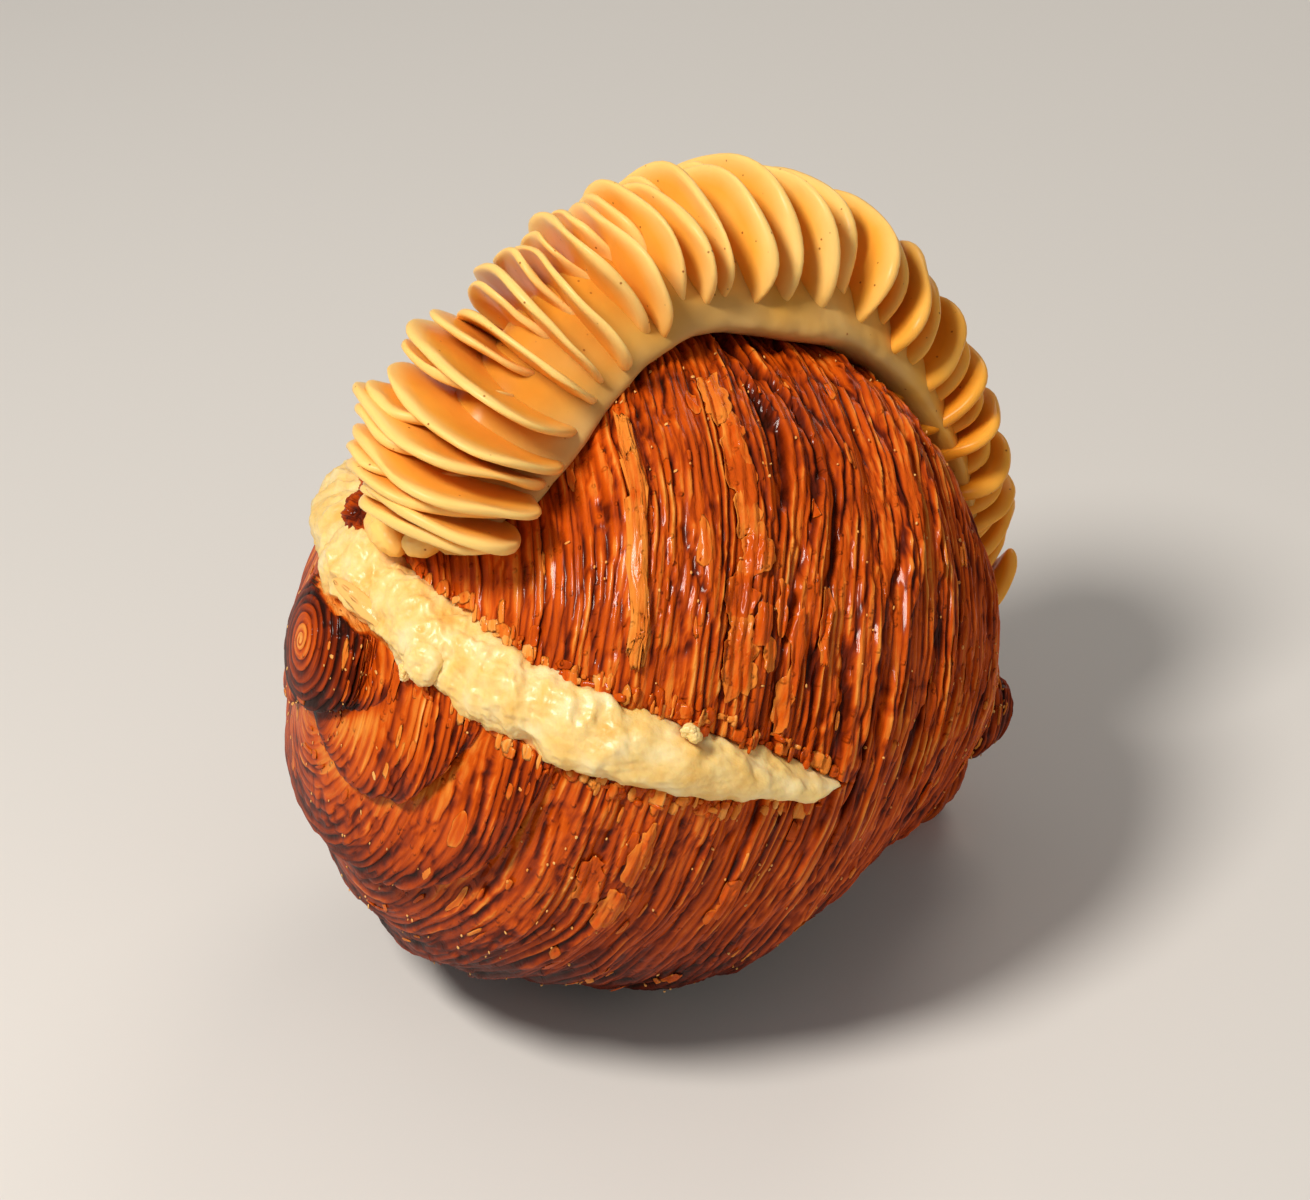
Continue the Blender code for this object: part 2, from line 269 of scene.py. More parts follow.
def terraces(place, pitch, wander, seed, length, step, crack):
    """Height from 0 to 1 of layer edges this far apart, and how much each place is in the crack
    between two. An edge rises gently and drops off towards its horn over the last part of its width,
    the step, and swells and fades along its own length."""
    drift = wander * (grain(place, (30, 24, 24), seed) + 0.2 * grain(place, (9, 11, 11), seed + 1))
    jagged = grain(place, (2.5, 4.5, 4.5), seed + 3) + grain(place, (1.0, 2.0, 2.0), seed + 4)
    drift += 0.1 * pitch * jagged
    cone = place[:, 0] > CONE_RUN  # on the horn's tip the layers wind in as a spiral
    lines = np.abs(place[:, 0] + drift * np.where(cone, 0.3, 1.0)) / pitch
    lines += cone * np.arctan2(place[:, 2], place[:, 1]) / (2.0 * math.pi)
    line = np.floor(lines)
    share = lines - line
    shape = np.minimum((share / (1.0 - step)) ** 0.55, 1.0) * (1.0 - ease((share - 1.0 + step) / step))
    beside = np.stack([line * 7.0, place[:, 1], place[:, 2]], axis=-1)
    strength = np.clip(0.55 + 0.85 * grain(beside, (1.0, length, length), seed + 2), 0.0, 1.0)
    strength = np.where(cone, 0.9, strength)
    near_crack = bell(np.minimum(share, 1.0 - share) * pitch, 0.0, crack)
    return shape * (0.2 + 0.8 * strength), near_crack * (0.35 + 0.65 * strength)


def seam_line(seam, around):
    """Where a seam of the open horn runs, as the place along the axis at each angle."""
    place, lean, curve, _ = seam
    level = np.sin(around)
    return place - lean * level + curve * np.minimum(level, 0.0) ** 2


def wrap_share(along, around):
    """How far along its wrap a place on the open side lies: 0 just past a seam, 1 at the next one."""
    lines = [seam_line(seam, around) for seam in SEAMS] + [np.full_like(along, OPEN_TIP[1])]
    share = np.zeros_like(along)
    for start, stop in zip(lines[:-1], lines[1:]):
        inside = (along >= start) & (along < stop)
        share = np.where(inside, (along - start) / (stop - start), share)
    return share


def seam_dip(along, around):
    """Depth of the seams, how far a place is on the smooth stretched skin beside one, and how near it is
    to a seam's bottom, where shade is painted. A wrap's wall drops steeply into its seam, and the next
    ledge rises gently."""
    top = upper(around)
    dip, skin, crease = np.zeros_like(along), np.zeros_like(along), np.zeros_like(along)
    for seam in SEAMS:
        past = along - seam_line(seam, around)
        dip += seam[3] * (1.0 - 0.8 * top) * bell(past, 0.0, np.where(past > 0, WALL, LEDGE))
        skin = np.maximum(skin, np.where(past > 0, 0.0, 1.0 - ease((-past - SKIN[0]) / SKIN[1])))
        crease = np.maximum(crease, bell(past, *CREASE))
    for place, depth in SHUT_SEAMS:
        dip += depth * bell(along, place, SHUT_SEAM)
    return dip, skin * (1.0 - top), crease * (1.0 - top)


def sheets(place):
    """Height from 0 to 1 of thin torn sheets that lie on the crust, and where their ragged edges are."""
    level = grain(place, (3.2, 13, 13), 43) + 0.3 * grain(place, (0.9, 2.2, 2.2), 44) - 0.12
    return ease(level / 0.09), bell(level, -0.04, 0.06)


EDGES = dict(pitch=1.3, wander=2.4, seed=11, length=9.0, step=0.35, crack=0.19)  # hair-fine edges
STRANDS = dict(pitch=3.4, wander=3.2, seed=21, length=14.0, step=0.2, crack=0.26)  # layers together
ROPES = dict(pitch=5.2, wander=4.0, seed=31, length=22.0, step=0.16, crack=0.45)  # bold strands
EDGE_RISE, STRAND_RISE, BOLD_STRAND_RISE, ROPE_RISE = 0.75, 0.7, 0.5, 2.2
SHEET_RISE = 0.32  # of the ragged sheets of the outermost layer
WRAP_SWELL = 1.8
FOLD_PITCH, FOLD_DEPTH = 8.2, 0.45  # broad waves along the roll
LUMP_RISE, PIMPLE_RISE = 0.3, 0.14


def relief(along, around):
    """The crust's height over its smooth form in millimetres, and the painted shade of each place in the
    crevices between layers.
    """
    place = dough_place(along, around)
    top = upper(around)
    tip = ease(form_radius(along, around) / 3.0)  # the relief dies out at a horn's very point
    body = ease(form_radius(along, around) / 12.0)
    bold = ease((20.0 - along) / 8.0) * top + 0.3 * ease((8.0 - along) / 14.0) * (1.0 - top)
    dip, skin, _ = seam_dip(along, around)
    rough, stretched = 1.0 - skin, 1.0 - 0.7 * skin
    sheet, ragged = sheets(place)
    (edges, hairs), (strands, cracks), (ropes, clefts) = (
        terraces(place, **kind) for kind in (EDGES, STRANDS, ROPES)
    )
    height = EDGE_RISE * (edges - 0.6) * stretched
    height += (STRAND_RISE + BOLD_STRAND_RISE * bold) * (strands - 0.6) * stretched * body
    height += ROPE_RISE * bold * (ropes - 0.7) + SHEET_RISE * sheet * rough * body
    height += LUMP_RISE * grain(place, (7, 9, 9), 41)
    height += PIMPLE_RISE * grain(place, (0.9, 2.5, 2.5), 42) * rough
    height += FOLD_DEPTH * np.sin(2 * math.pi * along / FOLD_PITCH + 0.8 * np.sin(2 * around)) * body
    share = np.clip(wrap_share(along, around), 0.0, 1.0)
    height += WRAP_SWELL * np.sin(math.pi * share**0.6) ** 0.8 * (1.0 - top) * body
    # How deep a place lies in a crevice, which the colour turns into painted shade.
    groove_shade = 0.75 * hairs * stretched + 0.75 * cracks * body * rough + 1.3 * clefts * bold
    # Crests of the hair-fine edges are painted paler, partly a paler edge and partly a painted highlight;
    # the ragged sheet edges are painted darker.
    groove_shade += (0.4 * ragged - 0.12 * sheet - 0.4 * ease((edges - 0.78) / 0.2)) * rough * body
    return (height - dip * body) * tip, groove_shade


def crust_radius(along, around):
    return np.maximum(form_radius(along, around) + relief(along, around)[0], 0.0)


# %% [markdown]
# ## Turning a form into a mesh
# A grid that is wrapped round and welded gives a closed ball with two poles, and much faster than the
# globe operator when it is this fine. Moving its points to (along, around) makes a croissant: the poles
# become the tip of a horn and the middle of a flat end. Filling the points in as one array is hundreds of
# times faster than a loop in Python.

# %% Globes, pieces and marks


def globe(rings, sides):
    """A ball's mesh, and for each point its share of the way from pole to pole, its angle and its place."""
    bm = bmesh.new()
    bmesh.ops.create_grid(bm, x_segments=sides, y_segments=rings, size=1.0)
    mesh = bpy.data.meshes.new("globe")
    bm.to_mesh(mesh)
    bm.free()
    flat = points_of(mesh, 1.0)
    polar, angle = math.pi * (flat[:, 1] + 1.0) / 2.0, math.pi * flat[:, 0]
    ring = np.sin(polar)
    move_points(mesh, np.stack([ring * np.cos(angle), ring * np.sin(angle), np.cos(polar)], axis=-1), 1.0)
    ball = points_of(mesh, 1.0)
    share = np.arctan2(np.hypot(ball[:, 0], ball[:, 1]), ball[:, 2]) / math.pi
    return mesh, share, np.arctan2(ball[:, 1], ball[:, 0]), ball


def points_of(mesh, scale=MM):
    found = np.empty(len(mesh.vertices) * 3, dtype=np.float32)
    mesh.vertices.foreach_get("co", found)
    return found.reshape(-1, 3).astype(float) / scale


def move_points(mesh, points, scale=MM):
    """Puts a mesh's points where an array says, welds open edges that meet, and turns faces outwards."""
    mesh.vertices.foreach_set("co", (points * scale).astype(np.float32).ravel())
    bm = bmesh.new()
    bm.from_mesh(mesh)
    rims = [v for v in bm.verts if v.is_boundary]
    if rims:
        bmesh.ops.remove_doubles(bm, verts=rims, dist=1e-5 * scale)
    bmesh.ops.recalc_face_normals(bm, faces=bm.faces)
    bm.to_mesh(mesh)
    bm.free()


def add_object(name, mesh):
    mesh.name = name
    piece = bpy.data.objects.new(name, mesh)
    bpy.context.scene.collection.objects.link(piece)
    return piece


def mark(mesh, name, values):
    """Stores a number or a vector for each point, which a material reads by its name."""
    kind = "FLOAT" if values.ndim == 1 else "FLOAT_VECTOR"
    store = mesh.attributes.new(name, kind, "POINT")
    store.data.foreach_set("value" if values.ndim == 1 else "vector", values.astype(np.float32).ravel())


def dress(piece, material, slot, node):
    """Shades a finished piece, gives it its material, hangs it on the root body and hides the solid it
    stands in for.
    """
    piece.data.materials.clear()
    piece.data.materials.append(material)
    piece.data.polygons.foreach_set("use_smooth", [True] * len(piece.data.polygons))
    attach(piece, "root")
    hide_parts(node)
    print(piece.name, sum(len(face.vertices) - 2 for face in piece.data.polygons), "triangles")


# %% [markdown]
# ## Materials first: one node, one call
# Each finish is a small tree of nodes. One function adds a node, sets it and links it, so that a tree
# reads as a list. Colours are written as they look on a screen, in sRGB hex, and turned to the linear
# light that the renderer works in.

# %% The colour and node helpers


def linear(colour):
    """An sRGB hex colour as linear light with full alpha."""
    parts = [int(colour[i : i + 2], 16) / 255 for i in (1, 3, 5)]
    return (*(p / 12.92 if p <= 0.04045 else ((p + 0.055) / 1.055) ** 2.4 for p in parts), 1.0)


def add_node(tree, kind, feeds=None, stops=None, **settings):
    """Adds one node; feeds maps an input to a value or to another node's output, stops fill a ramp."""
    node = tree.nodes.new("ShaderNode" + kind)
    for name, value in settings.items():
        setattr(node, name, value)
    if stops:
        ends = node.color_ramp.elements
        ends[0].position, ends[0].color = stops[0][0], linear(stops[0][1])
        ends[1].position, ends[1].color = stops[-1][0], linear(stops[-1][1])
        for place, colour in stops[1:-1]:
            ends.new(place).color = linear(colour)
    for name, value in (feeds or {}).items():
        if isinstance(value, bpy.types.NodeSocket):
            tree.links.new(value, node.inputs[name])
        elif isinstance(value, str):
            node.inputs[name].default_value = linear(value)
        else:
            node.inputs[name].default_value = value
    return node


def new_material(name):
    made = bpy.data.materials.new(name)
    made.use_nodes = True
    return made, made.node_tree, made.node_tree.nodes["Principled BSDF"]


def per(size):
    """Pattern scale for lumps of this size in millimetres, as Object coordinates are in metres."""
    return 1.0 / (size * MM)


def peaks(tree, distance, inner, outer, slope):
    """1 up to the inner distance from a cell's middle, and 0 past the outer one."""
    limits = {"From Min": inner, "From Max": outer, "To Min": 1.0, "To Max": 0.0}
    return add_node(tree, "MapRange", {"Value": distance, **limits}, interpolation_type=slope)


# %% [markdown]
# ## Egg-washed laminated crust
# The real thing is butter dough brushed with egg and baked hard. Egg wash dries to a thin glaze, so there
# is a clear coat over a rougher brown. The colour follows the baking, with painted light and shade laid
# into it: the horn went darkest, the underside is darker from the tray and from painted shade, the
# stretched skin beside a seam stayed golden, the crests of the layer edges are paler, partly as a painted
# highlight, and the crevices are deep brown from frying and from painted shade. A number stored on each
# point, `bake_and_shade`, carries that; noise stretched along the layers breaks it up. The dough's own
# coordinates are in millimetres, so a pattern's scale is one over its size.

# %% Crust material
STRAND, FLAKE = (0.4545, 6.25), (1.111, 2.857)  # across and along the layers
SPOT, BLISTER_GAP = 6.25, 1.818


def crust_material():
    made, tree, shader = new_material("egg-washed laminated crust")
    bake_and_shade = add_node(tree, "Attribute", attribute_name="bake_and_shade")
    place = add_node(tree, "Attribute", attribute_name="dough").outputs["Vector"]
    strands, flaky = (
        add_node(tree, "Mapping", {"Vector": place, "Scale": (1 / across, 1 / along, 1 / along)})
        for across, along in (STRAND, FLAKE)
    )
    fine = add_node(tree, "TexNoise", {"Vector": strands.outputs[0], "Scale": 1.0, "Detail": 6.0})
    spots = add_node(tree, "TexNoise", {"Vector": place, "Scale": 1 / SPOT, "Detail": 4.0})
    streak = add_node(tree, "Math", {0: fine.outputs[0], 1: 0.36, 2: -0.18}, operation="MULTIPLY_ADD")
    patch = add_node(tree, "Math", {0: spots.outputs[0], 1: 0.3, 2: -0.15}, operation="MULTIPLY_ADD")
    both = add_node(tree, "Math", {0: streak.outputs[0], 1: patch.outputs[0]}, operation="ADD")
    # Baked colour and painted shade together, broken up by noise.
    toasted_and_shaded = add_node(tree, "Math", {0: bake_and_shade.outputs["Fac"], 1: both.outputs[0]}, operation="ADD")
    colour = add_node(
        tree,
        "ValToRGB",
        {"Fac": toasted_and_shaded.outputs[0]},
        stops=(
            (0.0, "#F6BC6C"),
            (0.2, "#E98D33"),
            (0.38, "#D0550A"),
            (0.56, "#A43A04"),
            (0.76, "#641C03"),
            (1.0, "#280A02"),
        ),
    )
    # Blisters: bubbles of steam under the glaze, 0.6 mm across and about 2 mm apart.
    cells = add_node(tree, "TexVoronoi", {"Vector": place, "Scale": 1 / BLISTER_GAP})
    blister = peaks(tree, cells.outputs["Distance"], 0.05, 0.26, "SMOOTHSTEP")
    tree.links.new(colour.outputs[0], shader.inputs["Base Color"])
    flakes_noise = add_node(tree, "TexNoise", {"Vector": flaky.outputs[0], "Scale": 1.0, "Detail": 3.0})
    bumps = add_node(tree, "Bump", {"Height": fine.outputs[0], "Strength": 0.8, "Distance": 0.25 * MM})
    for source, strength, depth in ((flakes_noise, 0.8, 0.6), (blister, 1.0, 0.3)):
        feeds = {"Height": source.outputs[0], "Strength": strength, "Distance": depth * MM}
        bumps = add_node(tree, "Bump", {**feeds, "Normal": bumps.outputs[0]})
    tree.links.new(bumps.outputs[0], shader.inputs["Normal"])
    shader.inputs["Roughness"].default_value = 0.55
    shader.inputs["IOR"].default_value = 1.4
    shader.inputs["Specular IOR Level"].default_value = 0.05
    shader.inputs["Coat Weight"].default_value = 0.22
    shader.inputs["Coat Roughness"].default_value = 0.13
    return made


CRUST = crust_material()
BAKED = (CRUST, "crust", "croissant")  # material, slot and the solid that the crust's pieces stand for
print("made", CRUST.name)

# %% [markdown]
# ## How dark each place is baked, and where shade is painted
# The open horn caught the heat first and is dark up to its pale tip. Each wrap is darkest about a third of
# the way along, on its wall, partly from baking and partly as painted shade, and golden on the stretched
# skin just before the next seam. Crevices and the bottoms of the seams are painted dark as shade, because
# little light gets out of them, and they are also darker because the butter fried there. The underside is
# darker towards the table, partly from the tray and partly as painted shade.

# %% The bake and painted shade number
PLAIN_BAKE = 0.385
# Grooves and the seams' creases add painted shade; the wraps add partly baking and partly painted shade.
GROOVE_SHADE, SKIN_BAKE, CREASE_SHADE, WRAP_BAKE_AND_SHADE = 0.5, -0.12, 0.4, 0.24  # what each adds to it
HORN_BAKE, HORN_TIP_BAKE = 0.36, -0.55
UNDER_BAKE_AND_SHADE = 0.46  # the tray baked the underside darker, and painted shade darkens it further
TORN_BAKE = 0.16  # the pale inside of the dough


def bake_and_shade_of(along, around, groove_shade):
    place = dough_place(along, around)
    share = wrap_share(along, around)
    _, skin, crease = seam_dip(along, around)
    in_wrap = (share > 0) * (1.0 - upper(around))
    bake_and_shade = PLAIN_BAKE + 0.08 * grain(place, (2.6, 12, 12), 51) + 0.06 * grain(place, (14, 16, 16), 52)
    # Painted shade in the crevices and in the seams' bottoms; the stretched skin stays golden.
    bake_and_shade += GROOVE_SHADE * np.minimum(groove_shade, 1.0) + SKIN_BAKE * skin + CREASE_SHADE * crease
    # Each wrap's wall is darker a third of the way along: partly its baking, partly painted shade.
    bake_and_shade += in_wrap * WRAP_BAKE_AND_SHADE * bell(share, 0.3, 0.24)
    horn = ease((place[:, 0] - CONE_RUN) / 4.0)
    bake_and_shade += horn * (HORN_BAKE + HORN_TIP_BAKE * bell(place[:, 0], runs[-1], 3.6))
    # Darker towards the table: partly the tray's baking, partly painted shade.
    level = crust_point(along, around, form_radius(along, around))[:, 2]
    return bake_and_shade + UNDER_BAKE_AND_SHADE * ease((42.0 - level) / 38.0)


def paint_crust(mesh):
    """Stores the dough's own coordinates and the number for baked colour and painted shade on a finished
    crust mesh.
    """
    along, around, radius = from_world(points_of(mesh))
    height, groove_shade = relief(along, around)
    torn = ease((form_radius(along, around) + height - radius - 0.5) / 1.2)
    inside = TORN_BAKE + 0.1 * grain(points_of(mesh), 1.5, 53)
    mark(mesh, "dough", dough_place(along, around))
    mark(mesh, "bake_and_shade", bake_and_shade_of(along, around, groove_shade) * (1.0 - torn) + inside * torn)


# %% [markdown]
# ## The crust in three pieces
# The split opens the roll from the open horn back to a slanting hinge line. The open side is a globe that
# is cut twice by the same torn sheet, once for the base and once for the lid. The shut side is a globe of
# its own. A real croissant is one piece, but three meshes keep each one light, and the joins lie in the
# bottom of a crevice and along the torn line, where they can't be seen.

# %% The torn sheet between base and lid
HINGE_FRONT, HINGE_BACK = (0.0, 48.0), (28.0, -45.0)
GAPE, GAPE_RUN = 10.8, 17.0
SPLIT_HEIGHT, SPLIT_LIFT, SPLIT_TIP = 6.2, 0.5, 0.5
SPLIT_MIDDLE, SPLIT_SPANS = 30.0, (50.0, 62.0)  # the sheet's middle and half sizes, along and to the front
SPLIT_CELLS = 190
FAR_AWAY = 90.0


def split_reach(along, front):
    """Distance from the hinge line, positive on the open side."""
    run = (HINGE_BACK[0] - HINGE_FRONT[0], HINGE_BACK[1] - HINGE_FRONT[1])
    offset = (along - HINGE_FRONT[0]) * -run[1] + (front - HINGE_FRONT[1]) * run[0]
    return offset / math.hypot(*run)


def split_height(along, front, side):
    """Height of the base's torn face (side -1) or the lid's (side 1)."""
    reach = np.maximum(split_reach(along, front), 0.0)
    gape = (GAPE * (1.0 - np.exp(-((reach / GAPE_RUN) ** 1.3)))) + SPLIT_TIP * ease(reach / 2.0)
    wave = 0.5 * np.sin(along / 4.1) * np.cos(front / 6.3)
    middle = SPLIT_HEIGHT + SPLIT_LIFT * (np.maximum(along, 0.0) / OPEN_TIP[1]) ** 3 + wave
    place = np.stack([along, front, np.full_like(along, 40.0 * side)], axis=-1)
    rough = 0.75 * grain(place, 2.3, 61) + 0.45 * grain(place, 1.1, 62) + 0.5 * grain(place, 6.0, 63)
    return middle + side * gape / 2.0 + rough * ease(reach / 8.0) * (1.0 if side > 0 else 0.7)


def half_space(side):
    """A block whose near face is one torn face, reaching far past the croissant above or below."""
    bm = bmesh.new()
    bmesh.ops.create_grid(bm, x_segments=SPLIT_CELLS, y_segments=SPLIT_CELLS, size=1.0)
    bmesh.ops.extrude_face_region(bm, geom=bm.faces[:])
    mesh = bpy.data.meshes.new("half space")
    bm.to_mesh(mesh)
    count = len(bm.verts) // 2
    bm.free()
    flat = points_of(mesh, 1.0)
    along = SPLIT_MIDDLE + SPLIT_SPANS[0] * flat[:, 0]
    front = SPLIT_SPANS[1] * flat[:, 1]
    up = split_height(along, front, side)
    up[count:] = side * FAR_AWAY
    move_points(mesh, to_world(along, front, up))
    return add_object("half space", mesh)


def keep_inside(piece, cutter):
    """Keeps the part of a piece that lies inside the cutter, and removes the cutter."""
    modifier = piece.modifiers.new("cut", "BOOLEAN")
    modifier.operation = "INTERSECT"
    modifier.solver = "MANIFOLD"
    modifier.object = cutter
    graph = bpy.context.evaluated_depsgraph_get()
    made = bpy.data.meshes.new_from_object(piece.evaluated_get(graph))
    piece.modifiers.clear()
    piece.data = made
    bpy.data.objects.remove(cutter)


# %% The globes of the open and the shut side
OPEN_STEPS, SHUT_STEPS = (0.24, 0.95), (0.3, 1.3)  # between rings, and between points around the belly
SPLIT_RING = -2.0  # where the open and the shut side meet, along the axis


def crust_globe(name, tip_run, ring_step, side_step):
    """A closed form from a horn's tip to the flat face where the two sides meet."""
    meet = float(run_of(SPLIT_RING))
    rings = int(abs(tip_run - meet) / ring_step)
    mesh, share, around, _ = globe(rings, int(2 * math.pi * GIRTH / side_step))
    along = along_of(tip_run + (meet - tip_run) * share * rings / (rings - 1))
    along = np.maximum(along, SPLIT_RING) if tip_run > 0 else np.minimum(along, SPLIT_RING)
    radius = crust_radius(along, around)
    radius[share > 1.0 - 0.5 / rings] = 0.0
    move_points(mesh, on_table(crust_point(along, around, radius)))
    return add_object(name, mesh)


crust_pieces = []
for name, side in (("crust_base", -1), ("crust_lid", 1)):
    piece = crust_globe(name, runs[-1], *OPEN_STEPS)
    keep_inside(piece, half_space(side))
    crust_pieces.append(piece)
crust_pieces.append(crust_globe("crust_tail", runs[0], *SHUT_STEPS))
for piece in crust_pieces:
    paint_crust(piece.data)
    dress(piece, *BAKED)

# %% [markdown]
# ## The lobe that the dough ends in
# Behind the belly the last flap of dough swelled into a round lobe, which the croissant also stands on.

# %% Foot lobe
FOOT_PLACE, FOOT_SIZE = np.array((-52.5, -12.5, -17.5)), np.array((8.5, 11.0, 10.0))
FOOT_ROOT = np.array((7.0, 3.5, 4.5))  # how far the side that grows out of the belly is drawn into it
FOOT_GRAIN = np.array((1.0, 0.7, 0.7))


def foot_lobe():
    mesh, _, _, ball = globe(90, 110)
    folds = np.abs(grain(ball, (0.26, 0.8, 0.8), 73))  # creases where it is near nothing
    layers = np.abs(((ball[:, 0] + 0.16 * grain(ball, 0.7, 74)) * 6.5) % 1.0 - 0.5)
    swell = 1.0 + 0.07 * grain(ball, 0.6, 71) + 0.05 * grain(ball, (0.14, 0.4, 0.4), 72)
    swell += 0.1 * np.minimum(folds * 4.0, 1.0) - 0.1 + 0.05 * (layers - 0.5)
    own = FOOT_PLACE + FOOT_SIZE * ball * swell[:, None]
    own += np.outer(np.maximum(ball[:, 0], 0.0) ** 1.5, FOOT_ROOT)
    move_points(mesh, on_table(to_world(*own.T)))
    mark(mesh, "dough", own * FOOT_GRAIN)
    # Painted shade: darker in the lobe's creases and between its layers.
    mark(mesh, "bake_and_shade", 0.44 + 0.3 * bell(folds, 0.0, 0.1) + 0.25 * bell(layers, 0.0, 0.12))
    return add_object("crust_foot", mesh)


dress(foot_lobe(), *BAKED)

# %% [markdown]
# ## Flakes and scales
# What makes a crust look crisp are the bits that have come loose: a long flap of the outermost layer, a
# row of scales where a layer cracked, and hundreds of small slivers that stand up and catch the light.
# Each is a pressed ball again, thin and closed, laid on the crust by its run and angle, with one side
# lifted. Large ones are listed one by one, small ones come from a seeded random draw.

# %% Many copies of one small globe


def swarm(count, rings, sides):
    """A mesh with many small balls, each point's place on its ball and the number of its ball."""
    one, _, _, ball = globe(rings, sides)
    bm = bmesh.new()
    for _ in range(count):
        bm.from_mesh(one)
    mesh = bpy.data.meshes.new("swarm")
    bm.to_mesh(mesh)
    bm.free()
    return mesh, np.tile(ball, (count, 1)), np.repeat(np.arange(count), len(ball))


def flakes(name, rows, thickness, rings=6, sides=14, follow=0.85):
    """Lays flakes on the crust. Each row is run, angle in degrees, width, length, lift, tilt, bake;
    follow is how much of the crust's relief shows through them."""
    mesh, ball, which = swarm(len(rows), rings, sides)
    run, angle, width, length, lift, tilt, bake_and_shade = np.array(rows)[which].T
    x, y, z = ball.T
    square = np.hypot(x, y) / np.maximum(np.maximum(np.abs(x), np.abs(y)), 1e-6)
    stretch = 1.0 + 0.3 * (square - 1.0)
    place = np.stack([x * width / 2 + which * 9.7, y * length / 2, which * 3.1], axis=-1)
    torn = 1.0 + 0.45 * grain(place, 2.1, 121) + 0.3 * grain(place, 0.8, 125)
    u, v = x * stretch * torn, y * stretch * (0.4 + 0.6 * torn)
    bend = 0.4 * grain(np.stack([which * 5.3, v * length / 6, which * 1.7], axis=-1), 1.0, 123)
    along = along_of(run + 0.5 * width * (u + bend))
    base = np.maximum(form_radius(along_of(run), np.radians(angle)), 6.0)
    around = np.radians(angle) + 0.5 * length * v / base
    height = relief(along, around)[0] * follow
    height += lift + tilt * 0.5 * width * u + thickness * z + 0.1 * grain(place, 1.4, 124)
    move_points(mesh, on_table(crust_point(along, around, form_radius(along, around) + height)))
    mark(mesh, "dough", dough_place(along, around))
    mark(mesh, "bake_and_shade", bake_and_shade - 0.1 * np.hypot(x, y) ** 4)
    return add_object(name, mesh)


# %% The flap, the row of scales and the small slivers
LOOSE_BITS, SLIVERS, PEELINGS = 900, 360, 90  # drawn for each kind, and how many of a kind are used
FLAP = [(35.4, 43.5, 2.5, 37.0, 1.3, 0.1, 0.31)]
SCALES = (  # run, angle, width, length
    (20.8, 70.0, 3.4, 10.0),
    (19.8, 61.5, 3.2, 9.0),
    (20.1, 54.0, 3.8, 9.0),
    (20.4, 48.0, 3.4, 7.0),
    (19.2, 42.0, 4.4, 7.0),
    (20.8, 35.2, 4.6, 7.0),
    (21.2, 29.0, 3.6, 6.0),
    (20.8, 23.0, 4.6, 8.0),
    (17.8, 30.9, 2.6, 5.8),
    (16.5, 26.0, 2.4, 5.6),
    (14.8, 33.0, 2.0, 9.0),
    (11.8, 27.0, 2.0, 12.0),
    (12.6, 19.0, 2.4, 10.0),
    (7.5, 32.0, 1.8, 12.0),
    (31.4, -16.1, 3.4, 8.0),
    (27.1, -8.5, 2.4, 10.0),
    (26.9, -20.7, 2.8, 8.0),
    (11.4, -17.0, 2.6, 8.0),
)
scales = [(*scale, 0.35, -0.1 + 0.05 * (i % 4), 0.33 + 0.05 * (i % 3)) for i, scale in enumerate(SCALES)]


def on_lip(along, angle):
    """True for places near the mouth, where a flake would float over the filling."""
    radius = form_radius(along, angle)
    front, up = axis_offset(along)
    front, up = front + radius * np.cos(angle), up + radius * np.sin(angle)
    low, high = split_height(along, front, -1), split_height(along, front, 1)
    return (split_reach(along, front) > -1.0) & (up > low - 1.2) & (up < high + 1.2)


def scatter(draw, *ranges):
    """Random rows, one column for each range, without those that fall in the mouth."""
    rows = np.stack([draw.uniform(low, high, LOOSE_BITS) for low, high in ranges], axis=-1)
    return rows[~on_lip(along_of(rows[:, 0]), np.radians(rows[:, 1]))]


draw = np.random.default_rng(7)
slivers, painted_glints, peelings = (
    scatter(draw, reach, (-180, 180), *ranges)
    for reach, *ranges in (
        ((-72, 84), (0.3, 0.8), (1.2, 4.5), (0.1, 0.35), (-0.5, 0.2), (0.25, 0.5)),
        # tiny bubbles, painted pale as a painted highlight of glints on the glaze
        ((-72, 84), (0.2, 0.45), (0.25, 0.6), (0.2, 0.35), (0, 0), (0.0, 0.15)),
        ((-66, 70), (0.6, 1.5), (3.0, 9.0), (0.1, 0.25), (-0.25, 0.05), (0.34, 0.5)),
    )
)
dress(flakes("crust_peelings", peelings[:PEELINGS], 0.12, 8, 18), *BAKED)
dress(flakes("crust_flap", FLAP, 0.6, 90, 40, follow=0.4), *BAKED)
dress(flakes("crust_scales", scales, 0.2, 26, 44), *BAKED)
dress(flakes("crust_slivers", slivers[:SLIVERS], 0.14, 4, 8), *BAKED)
# Tiny bubbles painted pale: a painted highlight standing in for the glints on the glaze.
dress(flakes("crust_painted_glints", painted_glints, 0.17, 4, 6), *BAKED)

# %% Crumbs along the torn lips
CRUMBS = 110


def lip_angle(along, side):
    """Angle in degrees at which the base's or the lid's torn lip meets the crust."""
    angle = np.zeros_like(along)
    for _ in range(8):
        radius = form_radius(along, angle)
        front, up = axis_offset(along)
        level = split_height(along, front + radius * np.cos(angle), side)
        angle = np.arcsin(np.clip((level - up) / radius, -0.9, 0.9))
    return np.degrees(angle)


